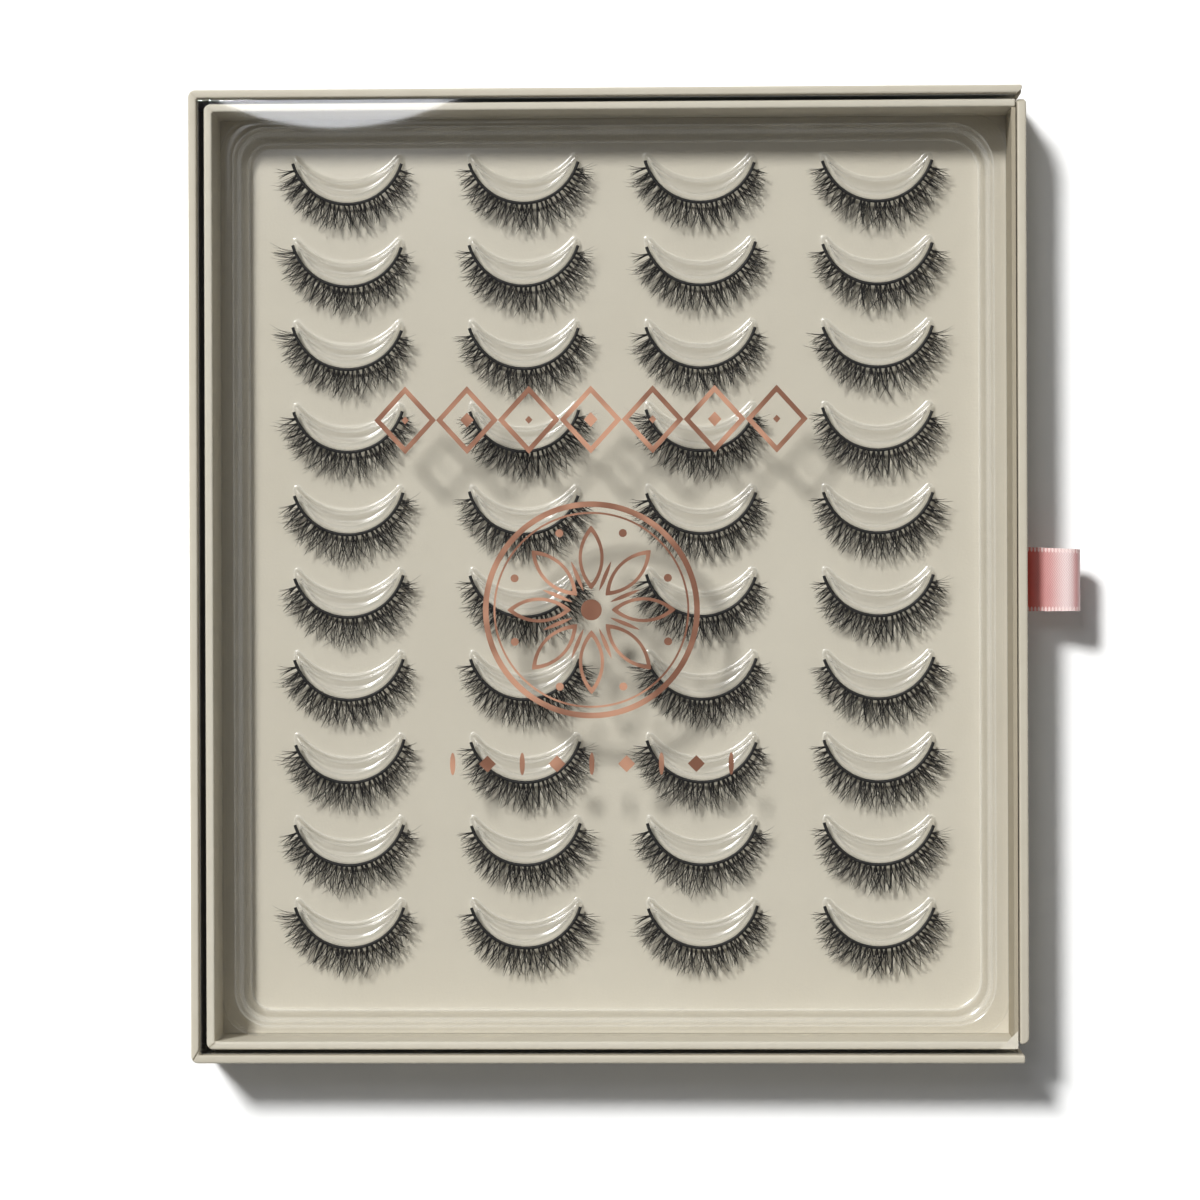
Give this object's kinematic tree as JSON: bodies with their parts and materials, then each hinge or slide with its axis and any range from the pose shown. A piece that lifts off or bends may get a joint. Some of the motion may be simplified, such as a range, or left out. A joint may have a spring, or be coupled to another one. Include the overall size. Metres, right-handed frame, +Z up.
{
  "type": "eyelash storage box",
  "caption": "Flat paper-wrapped drawer box with a clear window, a ribbon pull and a clear tray of crescent holders for strip eyelashes.",
  "frame": {"origin": "centre of the sleeve's underside, on the surface that the box lies on", "axes": "+X the way the drawer pulls out, +Y across the box towards the crescents' tips, +Z up through the window"},
  "size_m": [0.2208, 0.241, 0.025],
  "materials": {
    "sleeve_paper": "greige paper wrap, matt",
    "drawer_paper": "greige paper wrap, matt",
    "liner_card": "thin card, matt",
    "backing_card": "greige card, matt",
    "window_plastic": "clear, glossy",
    "tray_plastic": "clear, glossy",
    "satin_ribbon": "pink satin",
    "lash_fibre": "black fibre, faint sheen"
  },
  "bodies": {
    "sleeve": {"sleeve_base_board": "sleeve_paper", "sleeve_back_wall": "sleeve_paper", "sleeve_upper_wall": "sleeve_paper", "sleeve_lower_wall": "sleeve_paper", "window_sheet": "window_plastic"},
    "drawer": {"drawer_base_board": "drawer_paper", "drawer_back_wall": "drawer_paper", "drawer_upper_wall": "drawer_paper", "drawer_lower_wall": "drawer_paper", "drawer_front_panel": "drawer_paper", "drawer_front_liner": "liner_card", "ribbon_pull": "satin_ribbon", "backing_card": "backing_card", "blister_tray": "tray_plastic", "lash_r01_c1": "lash_fibre", "lash_r01_c2": "lash_fibre", "lash_r01_c3": "lash_fibre", "lash_r01_c4": "lash_fibre", "lash_r02_c1": "lash_fibre", "lash_r02_c2": "lash_fibre", "lash_r02_c3": "lash_fibre", "lash_r02_c4": "lash_fibre", "lash_r03_c1": "lash_fibre", "lash_r03_c2": "lash_fibre", "lash_r03_c3": "lash_fibre", "lash_r03_c4": "lash_fibre", "lash_r04_c1": "lash_fibre", "lash_r04_c2": "lash_fibre", "lash_r04_c3": "lash_fibre", "lash_r04_c4": "lash_fibre", "lash_r05_c1": "lash_fibre", "lash_r05_c2": "lash_fibre", "lash_r05_c3": "lash_fibre", "lash_r05_c4": "lash_fibre", "lash_r06_c1": "lash_fibre", "lash_r06_c2": "lash_fibre", "lash_r06_c3": "lash_fibre", "lash_r06_c4": "lash_fibre", "lash_r07_c1": "lash_fibre", "lash_r07_c2": "lash_fibre", "lash_r07_c3": "lash_fibre", "lash_r07_c4": "lash_fibre", "lash_r08_c1": "lash_fibre", "lash_r08_c2": "lash_fibre", "lash_r08_c3": "lash_fibre", "lash_r08_c4": "lash_fibre", "lash_r09_c1": "lash_fibre", "lash_r09_c2": "lash_fibre", "lash_r09_c3": "lash_fibre", "lash_r09_c4": "lash_fibre", "lash_r10_c1": "lash_fibre", "lash_r10_c2": "lash_fibre", "lash_r10_c3": "lash_fibre", "lash_r10_c4": "lash_fibre"}
  },
  "joints": [
    {"name": "drawer_slide", "type": "slide", "parent": "sleeve", "child": "drawer", "axis": [1, 0, 0], "range_m": [0, 0.206]}
  ]
}
